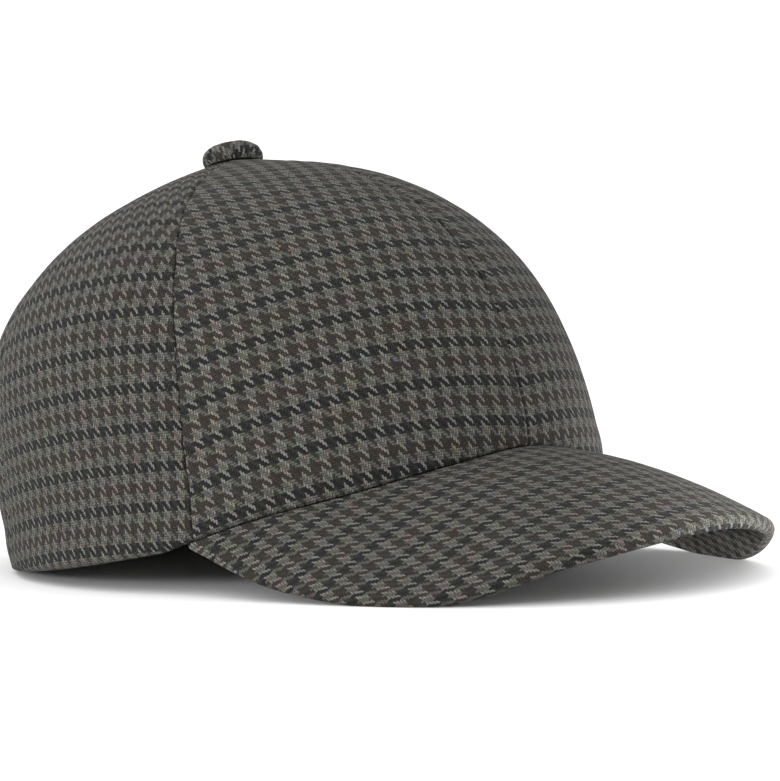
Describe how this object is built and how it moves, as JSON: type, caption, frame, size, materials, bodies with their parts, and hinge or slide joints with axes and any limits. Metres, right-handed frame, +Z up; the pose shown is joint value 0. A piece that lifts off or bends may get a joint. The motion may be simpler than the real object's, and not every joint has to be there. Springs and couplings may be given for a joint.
{
  "type": "baseball cap",
  "caption": "Cap with a domed crown of sewn wool gores, a covered button on top and a curved peak in front, checked all over and resting on a flat surface.",
  "frame": {"origin": "middle of the footprint, on the surface that the cap rests on", "axes": "+Z up, -Y to the front where the peak points, +X to the wearer's left"},
  "size_m": [0.1678, 0.2818, 0.1318],
  "materials": {
    "checked_wool": "soft napped wool, dark houndstooth check",
    "checked_wool_under": "soft napped wool, dark houndstooth check",
    "washer_metal": "plain metal, slightly dull"
  },
  "bodies": {
    "root": {"panel_front_left": "checked_wool", "panel_front_right": "checked_wool", "panel_side_left": "checked_wool", "panel_side_right": "checked_wool", "panel_back_left": "checked_wool", "panel_back_right": "checked_wool", "peak_upper_cover": "checked_wool", "peak_under_cover": "checked_wool_under", "button": "checked_wool", "button_washer": "washer_metal"}
  },
  "joints": []
}
